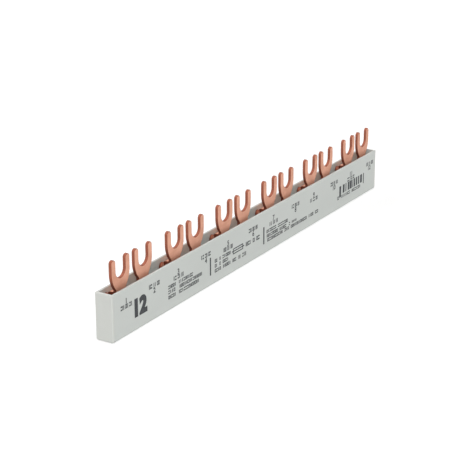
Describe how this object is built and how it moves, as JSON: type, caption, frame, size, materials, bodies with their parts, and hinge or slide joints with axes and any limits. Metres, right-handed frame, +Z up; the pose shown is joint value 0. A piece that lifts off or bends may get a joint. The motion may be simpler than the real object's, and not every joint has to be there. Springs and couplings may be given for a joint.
{
  "type": "comb busbar",
  "caption": "Comb busbar for rail-mounted devices: an open insulating trough holds stamped copper strips, whose upright forks stand in pairs along one line.",
  "frame": {"origin": "centre of the base, on the surface that the bar stands on", "axes": "+X along the bar, to the right as seen from the marked front; +Y to the back; +Z up"},
  "size_m": [0.263, 0.0094, 0.0375],
  "materials": {
    "case_plastic": "light grey, fine matt",
    "cap_plastic": "light grey, fine matt",
    "copper": "bare stamped copper, satin"
  },
  "bodies": {
    "root": {"housing": "case_plastic", "left_end_cap": "cap_plastic", "right_end_cap": "cap_plastic", "front_comb": "copper", "rear_comb": "copper"}
  },
  "joints": []
}
